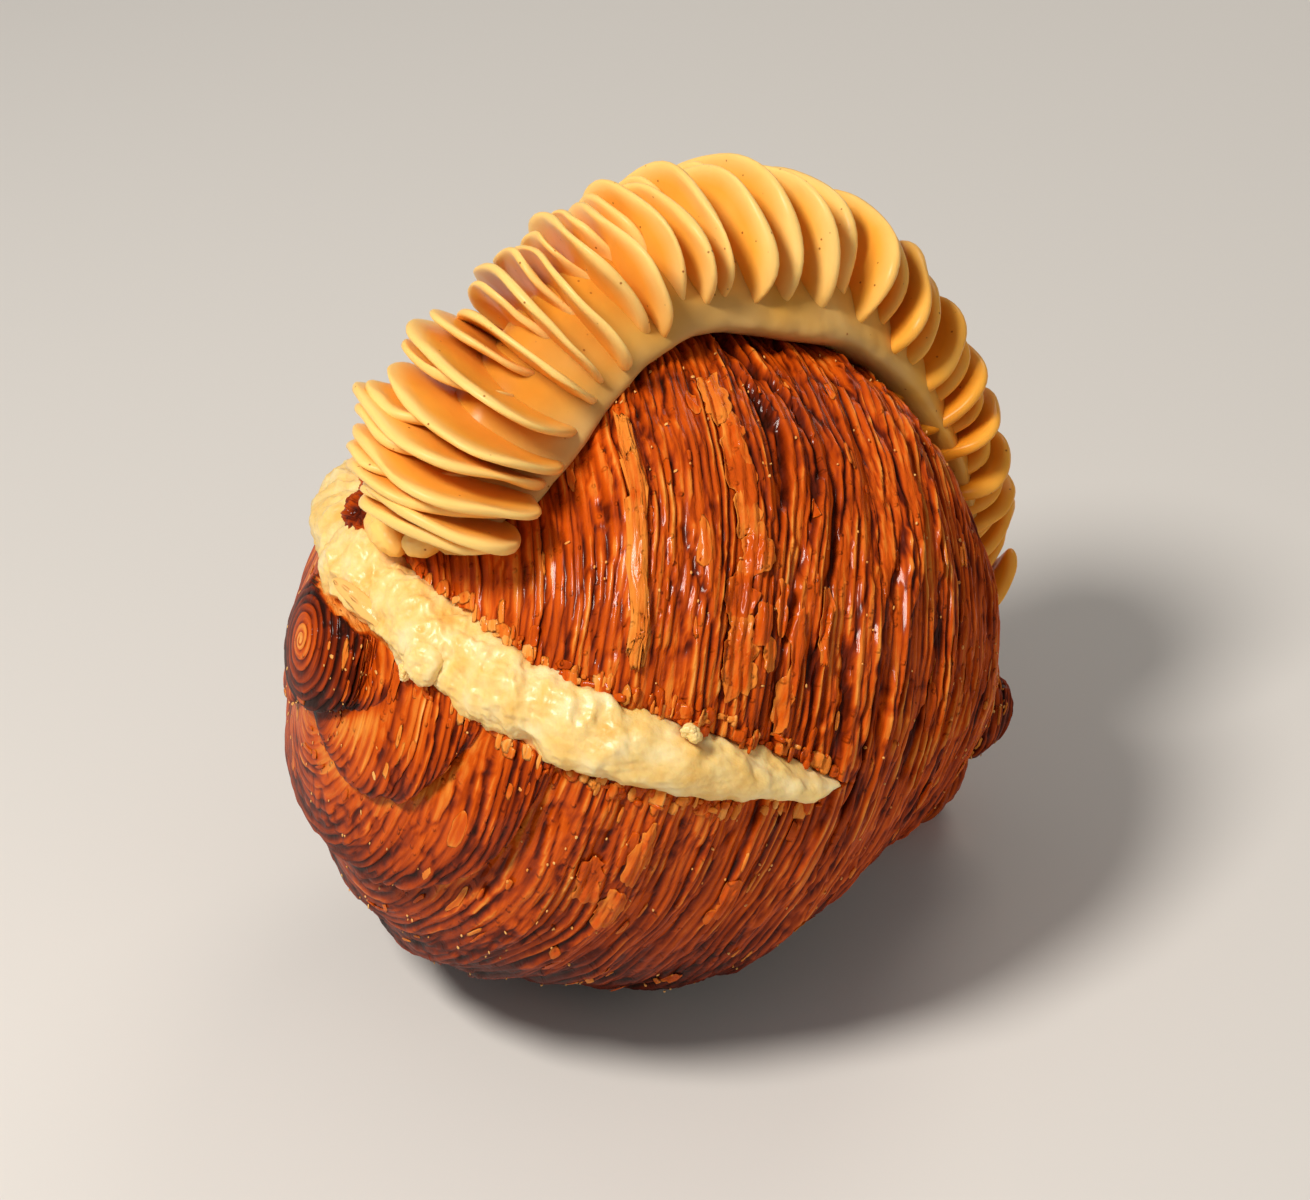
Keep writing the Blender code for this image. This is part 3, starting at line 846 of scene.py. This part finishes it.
def lip_crumbs(side):
    along = draw.uniform(2.0, 53.0, CRUMBS)
    angle = lip_angle(along, side) + side * draw.uniform(0.2, 3.2, CRUMBS)
    ranges = ((0.3, 1.9), (0.5, 3.0), (0.0, 0.5), (-0.6, 0.6), (0.16, 0.5))
    return np.stack([run_of(along), angle, *(draw.uniform(*limits, CRUMBS) for limits in ranges)], axis=-1)


crumbs = np.concatenate([lip_crumbs(-1), lip_crumbs(1)])
dress(flakes("crust_lip_crumbs", crumbs, 0.3, 4, 8), *BAKED)

# %% [markdown]
# ## Lumps laid on the crust
# A few things sit on the croissant on their own: a torn knob of brown crumb, a pale flake by the horn, a
# spilt lump and crumbs of filling and a drip of cream. Each is one globe, pressed and roughened, in the
# directions of the crust at its place: along the axis, around it and outwards.

# %% A lump with its own frame


def place_on_crust(along, angle):
    """A point of the smooth crust and its directions along, around and out."""
    near, turns = np.array([-0.5, 0.5, 0.0, 0.0]), np.array([0.0, 0.0, -1.0, 1.0])
    near, turns = along + near, np.radians(angle + turns)
    points = crust_point(near, turns, form_radius(near, turns))
    middle, over, around = points.mean(axis=0), unit(points[1] - points[0]), unit(points[3] - points[2])
    out = unit(np.cross(over, around))
    return middle, over, around, out if out @ (middle - BELLY) > 0 else -out


def lump(name, along, angle, lift, size, turn, rough, lumps):
    """A roughened ball; size is its half lengths over, around and out, rough its relief."""
    mesh, _, _, ball = globe(44, 56)
    middle, over, around, out = place_on_crust(along, angle)
    c, s = math.cos(math.radians(turn)), math.sin(math.radians(turn))
    length, width = over * c + around * s, around * c - over * s
    places = ball * np.array(size) + along
    swell = rough * (grain(places, lumps, 131) + 0.6 * (0.5 - np.abs(grain(places, lumps / 2, 132))))
    swell += 0.3 * rough * grain(places, lumps / 5, 133)
    grown = ball * (np.array(size) + swell[:, None])
    move_points(mesh, middle + out * lift + grown @ np.stack([length, width, out]))
    return add_object(name, mesh), ball, swell / rough


torn, ball, swell = lump("torn_crumb", 53.6, 106.0, 2.6, (3.0, 4.6, 1.9), 0.0, 0.9, 1.8)
mark(torn.data, "dough", ball * 8.0)
mark(torn.data, "bake_and_shade", 0.72 - 0.35 * swell)
dress(torn, *BAKED)
peel, ball, _ = lump("peeled_sliver", 57.0, 47.0, 2.2, (6.2, 1.3, 0.4), 50.0, 0.12, 2.0)
mark(peel.data, "dough", ball * 2.0)
mark(peel.data, "bake_and_shade", np.full(len(ball), -0.3))  # below nothing: the palest colour all over
dress(peel, *BAKED)

# %% [markdown]
# ## Piped caramel cream
# Caramel pastry cream is smooth, fatty and slightly see-through. Its light and shade are painted into the
# colour, stored as `painted_lightness`: thin rims glow pale, while thick roots, gaps and the ruffle's far
# end are deeper and more orange. It has a soft sheen, and fine dark specks of vanilla.

# %% Cream material
CLOUD, SPECK_GAP, RIPPLE = 11.11, 2.38, 2.857  # sizes of its patterns
CREAM_SOLID = ("piped_cream", "ruffle")  # slot and the solid that the cream's pieces stand for


def cream_material(name, deepest, deep, middle, pale):
    made, tree, shader = new_material(name)
    painted_lightness = add_node(tree, "Attribute", attribute_name="painted_lightness")
    place = add_node(tree, "TexCoord")
    clouds, ripple = (
        add_node(tree, "TexNoise", {"Vector": place.outputs["Object"], "Scale": per(size), "Detail": 3.0})
        for size in (CLOUD, RIPPLE)
    )
    shift = add_node(tree, "Math", {0: clouds.outputs[0], 1: 0.4, 2: -0.2}, operation="MULTIPLY_ADD")
    share = add_node(tree, "Math", {0: painted_lightness.outputs["Fac"], 1: shift.outputs[0]}, operation="ADD")
    # The ramp runs from the painted shade of roots and gaps to the painted glow of thin edges.
    colour = add_node(
        tree,
        "ValToRGB",
        {"Fac": share.outputs[0]},
        stops=((0.0, deepest), (0.3, deep), (0.6, middle), (1.0, pale)),
    )
    # Vanilla specks: 0.3 mm across, some 3 mm apart.
    cells = add_node(tree, "TexVoronoi", {"Vector": place.outputs["Object"], "Scale": per(SPECK_GAP)})
    speck = peaks(tree, cells.outputs["Distance"], 0.04, 0.1, "LINEAR")
    sparse = add_node(tree, "Math", {0: cells.outputs["Color"], 1: 0.6}, operation="LESS_THAN")
    dots = add_node(tree, "Math", {0: speck.outputs[0], 1: sparse.outputs[0]}, operation="MULTIPLY")
    flecked = add_node(
        tree, "Mix", {"Factor": dots.outputs[0], 6: colour.outputs[0], 7: "#9A5418"}, data_type="RGBA"
    )
    tree.links.new(flecked.outputs[2], shader.inputs["Base Color"])
    bump = add_node(tree, "Bump", {"Height": ripple.outputs[0], "Strength": 0.25, "Distance": 0.3 * MM})
    tree.links.new(bump.outputs[0], shader.inputs["Normal"])
    shader.inputs["Roughness"].default_value = 0.3
    shader.inputs["IOR"].default_value = 1.45
    shader.inputs["Specular IOR Level"].default_value = 0.15
    shader.inputs["Coat Weight"].default_value = 0.02
    shader.inputs["Coat Roughness"].default_value = 0.15
    shader.subsurface_method = "BURLEY"
    shader.inputs["Subsurface Weight"].default_value = 0.3
    shader.inputs["Subsurface Radius"].default_value = (1.0, 0.5, 0.15)
    shader.inputs["Subsurface Scale"].default_value = 1.5 * MM
    return made


# Ramp colours from the deepest painted shade to the palest painted glow.
CREAM = cream_material("piped caramel cream", "#A9540A", "#E68D20", "#F8B042", "#FBD07A")
# The bed's copy of the cream is duller and darker: painted shade, as it lies under the petals.
SHADED_BED_CREAM = cream_material("caramel cream bed in painted shade", "#A8601A", "#D8912F", "#D6A04A", "#D9AE68")
print("made", CREAM.name, "and", SHADED_BED_CREAM.name)

# %% [markdown]
# ## Where the ruffle runs
# A baker pipes a ruffle with a petal nozzle held on edge, moving from side to side: each stroke leaves one
# thin petal across the line. The line is given by a few places on the crust, and a smooth curve through
# them gives the frame that each petal stands in.

# %% The ruffle's line and frame
RUFFLE_PATH = (
    (50.0, 52.0),
    (47.5, 71.0),
    (37.0, 86.0),
    (23.5, 96.5),
    (8.5, 104.0),
    (-7.0, 107.0),
    (-21.0, 106.5),
    (-34.0, 107.0),
    (-44.0, 110.0),
)
RUFFLE_SIZES = (0.72, 1.04, 0.90, 0.92, 1.10, 1.06, 0.84, 0.68, 0.50)
OUT_LEAN = (0.8, 0.4, 40.0)


def through(values, share):
    """A smooth line through evenly spaced values (Catmull-Rom)."""
    last = len(values) - 1
    i = min(int(share * last), last - 1)
    t = share * last - i
    a, b = values[i], values[i + 1]
    before = values[i - 1] if i > 0 else 2 * a - b
    after = values[i + 2] if i + 2 <= last else 2 * b - a
    bend = (2 * before - 5 * a + 4 * b - after) * t + (3 * a - before - 3 * b + after) * t * t
    return a + 0.5 * t * (b - before + bend)


def on_form(share):
    """The smooth crust under the ruffle's line, averaged over a few millimetres."""
    along = through([p[0] for p in RUFFLE_PATH], share)
    around = math.radians(through([p[1] for p in RUFFLE_PATH], share))
    near = along + np.array((-4.0, 0.0, 4.0))
    around = np.full(3, around)
    return crust_point(near, around, form_radius(near, around)).mean(axis=0)


def ruffle_frame(share):
    """Place on the crust and the directions along the ruffle, across it (to the front) and out of it."""
    here = on_form(share)
    forward = unit(on_form(share + 0.01) - on_form(max(share - 0.01, 0.0)))
    along = through([p[0] for p in RUFFLE_PATH], share)
    lean, more, run = OUT_LEAN
    front, up = axis_offset(np.array(along))
    out = here - to_world(along * (lean - more * ease(along / run)), front, up)
    out = unit(out - forward * (out @ forward))
    across = np.cross(forward, out)
    return here, forward, across if across @ FRONT > 0 else -across, out


# %% [markdown]
# ## One petal
# A petal is a ball pressed flat: its rim is a blunt bead, because the nozzle's edge drags there, and its
# face bows a little. Balls are cheap and always closed, and their points crowd towards the rim, where the
# shape needs them.

# %% Petals
PETALS = 34
PETAL_GAPS = (1.1, 1.0, 0.95, 1.0, 1.5, 1.35, 0.9, 0.85, 0.8)  # between petals, at the same places
PETAL_REACH, PETAL_RISE = 15.0, 11.5
PETAL_CENTRE = 9.5
PETAL_YAWS = (12.0, 14.0, 26.0, 26.0, 4.0, 0.0, 2.0, 8.0, 14.0)  # degrees, at the same places
PETAL_LEANS = (-30.0, -28.0, -16.0, -10.0, -4.0, 0.0, -4.0, -8.0, -14.0)
PETAL_HALF_THICKNESSES = (1.25, 1.2, 0.95, 0.95, 1.1, 1.25, 1.4, 1.3, 1.0)
PETAL_YAW_PLAY, PETAL_LEAN_PLAY = 2.5, 4.0
PETAL_SHIFT, PETAL_CURL = 1.2, 2.2
STEADY_SHARE = 0.13  # the strokes before here all point the same way
BACK_ROW = (-6.5, 0.62, 0.86)  # how far back the small petals stand, and their share of length and height


line = np.linspace(0.0, 1.0, 201)
counts = np.cumsum([1.0 / through(PETAL_GAPS, share) for share in line])
counts = (counts - counts[0]) / (counts[-1] - counts[0])


def petal(index, back=False):
    """One petal, with painted light on each point: paler to its top and thin edge, deeper at its root and
    at the ruffle's far end.
    """
    count = (index + (1.0 if back else 0.5)) / PETALS
    share = float(np.interp(count, counts, line)) + max(count - 1.0, 0.0)
    spike = float(ease((share - 0.9) / 0.1))  # the last ones are drawn out to points
    here = on_form(share)
    _, forward, across, out = ruffle_frame(max(share, STEADY_SHARE))
    index += 0.37 if back else 0.0
    play = math.sin(2.4 * index) + 0.6 * math.sin(5.1 * index + 1.0)
    yaw = math.radians(through(PETAL_YAWS, share) + PETAL_YAW_PLAY * play)
    lean = math.radians(through(PETAL_LEANS, share) + PETAL_LEAN_PLAY * math.sin(1.7 * index + 0.5))
    face = forward * math.cos(yaw) + across * math.sin(yaw)
    side = across * math.cos(yaw) - forward * math.sin(yaw)
    rise = out * math.cos(lean) + face * math.sin(lean)
    face = face * math.cos(lean) - out * math.sin(lean)
    size = through(RUFFLE_SIZES, share)
    reach = PETAL_REACH * (0.98 + 0.06 * play) * size * (1.0 - 0.5 * spike)
    height = PETAL_RISE * (1.0 + 0.06 * math.sin(3.3 * index)) * size * (1.0 + 0.6 * spike)
    middle = here + out * (PETAL_CENTRE * size) + side * (PETAL_SHIFT if index % 2 else -PETAL_SHIFT)
    if back:
        middle += side * BACK_ROW[0] * size
        reach, height = reach * BACK_ROW[1], height * BACK_ROW[2]
    mesh, _, _, ball = globe(22, 48)
    radial = np.hypot(ball[:, 0], ball[:, 1])
    x, y, z = ball.T
    bead = 0.72 + 0.28 * bell(radial, 0.95, 0.07) + 0.35 * (1.0 - ease((y + 1.0) / 0.9))
    thick = through(PETAL_HALF_THICKNESSES, share) * bead * np.sign(z) * np.abs(z) ** 0.5
    bow = PETAL_CURL * x * np.abs(x) + 0.5 * np.sin(3.0 * x + index) * radial**2
    bow += 0.35 * grain(ball + index * 3.0, 0.45, 81) * radial
    edge = 1.0 + 0.035 * np.sin(4.0 * np.arctan2(y, x) + index) * radial
    points = middle + np.outer(reach * x * edge, side) + np.outer(height * y * edge, rise)
    points += np.outer(thick + bow, face)
    move_points(mesh, points)
    # Painted light and shade: paler towards the top and the thin edge, where the cream glows; deeper at the
    # root, and deeper along the ruffle's far end, which lies in shade.
    paleness = 0.25 + 0.35 * ease(y + 1.0) + 0.4 * ease((radial - 0.72) / 0.28)
    mark(mesh, "painted_lightness", paleness - 0.4 * ease((share - 0.5) / 0.3))
    return add_object("petal", mesh)


def join(name, parts):
    """Makes one object of several."""
    bm = bmesh.new()
    for part in parts:
        bm.from_mesh(part.data)
    mesh = bpy.data.meshes.new(name)
    bm.to_mesh(mesh)
    bm.free()
    for part in parts:
        bpy.data.objects.remove(part)
    return add_object(name, mesh)


LAST_SPIKES = 2  # petals past the end of the ruffle's line
large = join("ruffle_petals", [petal(i) for i in range(PETALS + LAST_SPIKES)])
dress(large, CREAM, *CREAM_SOLID)
small = join("ruffle_back_petals", [petal(i, back=True) for i in range(PETALS - 1)])
dress(small, CREAM, *CREAM_SOLID)

# %% The drip and the curl at the ruffle's start
for placed in (
    ("cream_drip", 53.2, 75.0, 3.3, (2.3, 5.4, 2.8), -8.0, 0.5, 3.5),
    ("cream_curl", 51.6, 60.0, 3.0, (3.4, 2.6, 2.0), 20.0, 0.4, 3.0),
):
    piece, ball, _ = lump(*placed)
    # Painted light: paler on the side that faces out from the crust.
    mark(piece.data, "painted_lightness", 0.7 + 0.25 * ball[:, 2])
    dress(piece, CREAM, *CREAM_SOLID)

# %% The bed of cream under the petals
STRIP_FRONT, STRIP_BACK, STRIP_HALF_HEIGHT, STRIP_CENTRE = 15.5, 12.5, 4.5, 3.5
STRIP_HUMP = 5.5  # how much the bed heaps up under the petals
STRIP_RINGS = 160
STRIP_END = 1.05  # the bed ends a little past the ruffle's line, under the last spikes


def cream_bed():
    mesh, share, angle, _ = globe(STRIP_RINGS, 64)
    ring = np.round(share * STRIP_RINGS).astype(int)
    line_shares = np.linspace(0.0, STRIP_END, STRIP_RINGS + 1)
    frames = [ruffle_frame(step) for step in line_shares]
    here, across, out = (np.array([frame[i] for frame in frames])[ring] for i in (0, 2, 3))
    sizes = np.array([through(RUFFLE_SIZES, step) for step in line_shares])[ring]
    size = sizes * np.sin(math.pi * share) ** 0.35
    width = np.where(np.cos(angle) > 0, STRIP_FRONT, STRIP_BACK) * size * np.cos(angle)
    swell, top = np.sin(angle), np.maximum(np.sin(angle), 0.0)
    height = STRIP_CENTRE + STRIP_HALF_HEIGHT * size * swell - width**2 / (2.0 * GIRTH)
    height += STRIP_HUMP * size * top**3
    points = here + width[:, None] * across + height[:, None] * out
    outward = points - here
    outward /= np.maximum(np.linalg.norm(outward, axis=1, keepdims=True), 1e-9)
    points += outward * (0.5 * grain(points, 5.0, 91) + 0.15 * grain(points, 1.8, 92))[:, None]
    move_points(mesh, points)
    # Painted shade: deep orange on the hump under the petals and towards the ruffle's far end, pale beige
    # on the skirts, with some random tone.
    paleness = 0.9 - 0.6 * top**1.5 + 0.2 * grain(points, 6.0, 93)
    mark(mesh, "painted_lightness", paleness - 0.4 * ease((share - 0.55) / 0.3))
    return add_object("ruffle_bed", mesh)


dress(cream_bed(), SHADED_BED_CREAM, *CREAM_SOLID)

# %% [markdown]
# ## Almond cream
# Frangipane-style cream is ground almonds in butter and egg: pale yellow, moist, and curdled into lumps
# where it was torn open.

# %% Almond cream material
CURD, GRIT = (4.545, 5.0), (1.111, 4.0)  # sizes of its patterns, and how many finer ones each carries


def almond_material():
    made, tree, shader = new_material("moist almond cream")
    place = add_node(tree, "TexCoord")
    curd, grit = (
        add_node(tree, "TexNoise", {"Vector": place.outputs["Object"], "Scale": per(size), "Detail": finer})
        for size, finer in (CURD, GRIT)
    )
    colour = add_node(
        tree,
        "ValToRGB",
        {"Fac": curd.outputs[0]},
        stops=((0.3, "#EDBC5E"), (0.5, "#F8D486"), (0.72, "#FCE4AA")),
    )
    tree.links.new(colour.outputs[0], shader.inputs["Base Color"])
    bump = add_node(tree, "Bump", {"Height": grit.outputs[0], "Strength": 0.6, "Distance": 0.3 * MM})
    tree.links.new(bump.outputs[0], shader.inputs["Normal"])
    shader.inputs["Roughness"].default_value = 0.45
    shader.inputs["Coat Weight"].default_value = 0.2
    shader.inputs["Coat Roughness"].default_value = 0.2
    shader.inputs["Subsurface Weight"].default_value = 0.3
    shader.inputs["Subsurface Radius"].default_value = (1.0, 0.65, 0.3)
    shader.inputs["Subsurface Scale"].default_value = 2.0 * MM
    return made


ALMOND = almond_material()
FILLED = (ALMOND, "almond_cream", "filling")  # material, slot and the solid that these pieces stand for
print("made", ALMOND.name)

# %% The filling between the torn faces
FILL_CENTRE = (30.0, 4.0)  # along, front
FILL_RINGS, FILL_SIDES = 110, 620
FILL_CAP = 0.12  # the share of the rings that each of the hidden flat faces takes
BULGE, SAG = 3.2, 0.9
TUCK = 6.0  # how far in from the crust the visible band starts


def crust_reach(turn_angle):
    """Distance from the filling's centre to the crust or the hinge line, in each direction."""
    low, high = np.zeros_like(turn_angle), np.full_like(turn_angle, FAR_AWAY)
    for _ in range(40):
        half = (low + high) / 2
        along = FILL_CENTRE[0] + half * np.cos(turn_angle)
        front = FILL_CENTRE[1] + half * np.sin(turn_angle)
        level = split_height(along, front, 1) * 0.5 + split_height(along, front, -1) * 0.5
        off_front, off_up = axis_offset(along)
        around = np.arctan2(level - off_up, front - off_front)
        radius = np.hypot(level - off_up, front - off_front)
        inside = (radius < form_radius(np.clip(along, -60, 61.5), around)) & (along < 61.0)
        inside &= split_reach(along, front) > 1.5
        low, high = np.where(inside, half, low), np.where(inside, high, half)
    return low


def filling():
    mesh, share, angle, _ = globe(FILL_RINGS, FILL_SIDES)
    band = np.clip((share - FILL_CAP) / (1.0 - 2.0 * FILL_CAP), 0.0, 1.0)
    tilt = math.pi * (0.5 - band)
    core = np.minimum(np.minimum(share, 1.0 - share) / FILL_CAP, 1.0)
    reaches = crust_reach(np.arange(FILL_SIDES) * (2.0 * math.pi / FILL_SIDES))
    edge = reaches[np.round(angle / (2.0 * math.pi) * FILL_SIDES).astype(int) % FILL_SIDES]
    along_edge = FILL_CENTRE[0] + edge * np.cos(angle)
    front_edge = FILL_CENTRE[1] + edge * np.sin(angle)
    opened = ease(split_reach(along_edge, front_edge) / 8.0)
    lumpy = 0.15 + 0.85 * ease((along_edge - 22.0) / 20.0)
    inner = np.maximum(edge - TUCK, 0.5)
    outer = TUCK + BULGE * opened
    radial = np.where(core < 1.0, inner * core, inner + outer * np.cos(tilt) ** 0.55)
    along = FILL_CENTRE[0] + radial * np.cos(angle)
    front = FILL_CENTRE[1] + radial * np.sin(angle)
    low, high = split_height(along, front, -1), split_height(along, front, 1)
    up = (low + high) / 2 + ((high - low) / 2 + 0.25 * opened) * np.sin(tilt)
    up -= SAG * opened * np.maximum(np.cos(tilt), 0.0) ** 0.5 * (core >= 1.0)
    points = to_world(along, front, up)
    outward = np.cos(angle)[:, None] * ALONG + np.sin(angle)[:, None] * FRONT
    outward = outward * np.cos(tilt)[:, None] + np.sin(tilt)[:, None] * UP
    lumps = 1.3 * grain(points, 6.5, 101) + 1.4 * (0.5 - np.abs(grain(points, 3.4, 102)))
    curd = 0.45 * (0.5 - np.abs(grain(points, 1.1, 103))) + 0.16 * grain(points, 0.55, 104)
    grown = (lumps * lumpy + curd * (0.4 + 0.6 * lumpy)) * opened * np.cos(tilt) ** 0.3
    points += outward * grown[:, None]
    move_points(mesh, points)
    return add_object("almond_filling", mesh)


dress(filling(), *FILLED)
for name, along, angle, lift, size in (
    ("spilt_lump", 51.9, 18.5, 2.2, (3.2, 3.0, 2.3)),
    ("spilt_crumb", 53.6, 13.5, 0.9, (0.9, 1.4, 0.8)),
    ("loose_crumb", 26.3, 13.6, 2.3, (1.4, 1.0, 0.9)),
):
    piece, _, _ = lump(name, along, angle, lift, size, 15.0, 0.35 * size[0] ** 0.5, 0.8 * size[0])
    dress(piece, *FILLED)

# %% [markdown]
# ## Table, light and camera
# The croissant stands on a plain pale floor. A soft light from the upper left models the ridges, and weak
# ones from the right and from behind open the shadows. The camera looks down at the split side from above,
# through a long lens; the frame is shifted rather than turned, so the croissant stays in its middle.

# %% Floor


def floor():
    mesh = bpy.data.meshes.new("table")
    bm = bmesh.new()
    bmesh.ops.create_circle(bm, cap_ends=True, segments=96, radius=2.5)
    bm.to_mesh(mesh)
    bm.free()
    made, _, shader = new_material("matt white table")
    shader.inputs["Base Color"].default_value = linear("#DEDCD8")
    shader.inputs["Roughness"].default_value = 0.8
    mesh.materials.append(made)
    return add_object("table", mesh)


floor()

# %% Lights
AIM = Vector(BELLY * MM)


def area_light(name, place, size, power, colour):
    lamp = bpy.data.lights.new(name, "AREA")
    lamp.shape, lamp.size, lamp.energy, lamp.color = "DISK", size, power, linear(colour)[:3]
    made = bpy.data.objects.new(name, lamp)
    made.location = AIM + Vector(place)
    made.rotation_euler = (-Vector(place)).to_track_quat("-Z", "Y").to_euler()
    bpy.context.scene.collection.objects.link(made)


area_light("key light", (-0.36, -0.34, 0.68), 0.22, 6.7, "#FFF8F0")
area_light("fill light", (0.60, -0.45, 0.30), 0.60, 0.6, "#FFF4E6")
area_light("back light", (0.25, 0.60, 0.55), 0.40, 1.2, "#FFF4E6")
world = bpy.data.worlds.new("studio")
world.use_nodes = True
sky = world.node_tree.nodes["Background"]
sky.inputs["Color"].default_value = linear("#FFFFFF")
sky.inputs["Strength"].default_value = 0.2
bpy.context.scene.world = world
bpy.context.scene.view_settings.view_transform = "Standard"

# %% Camera
ELEVATION = math.radians(33.5)
DISTANCE = 0.5396
SHIFT = (-0.02672, 0.0458)  # shares of the picture's width
camera = bpy.data.cameras.new("camera")
camera.lens, camera.sensor_width = 100.0, 36.0
camera.shift_x, camera.shift_y = SHIFT
camera.clip_start, camera.clip_end = 0.01, 20.0
viewer = bpy.data.objects.new("camera", camera)
back = Vector((0.0, -math.cos(ELEVATION), math.sin(ELEVATION)))
viewer.location = AIM + DISTANCE * back
viewer.rotation_euler = (math.pi / 2 - ELEVATION, 0.0, 0.0)
bpy.context.scene.collection.objects.link(viewer)
bpy.context.scene.camera = viewer
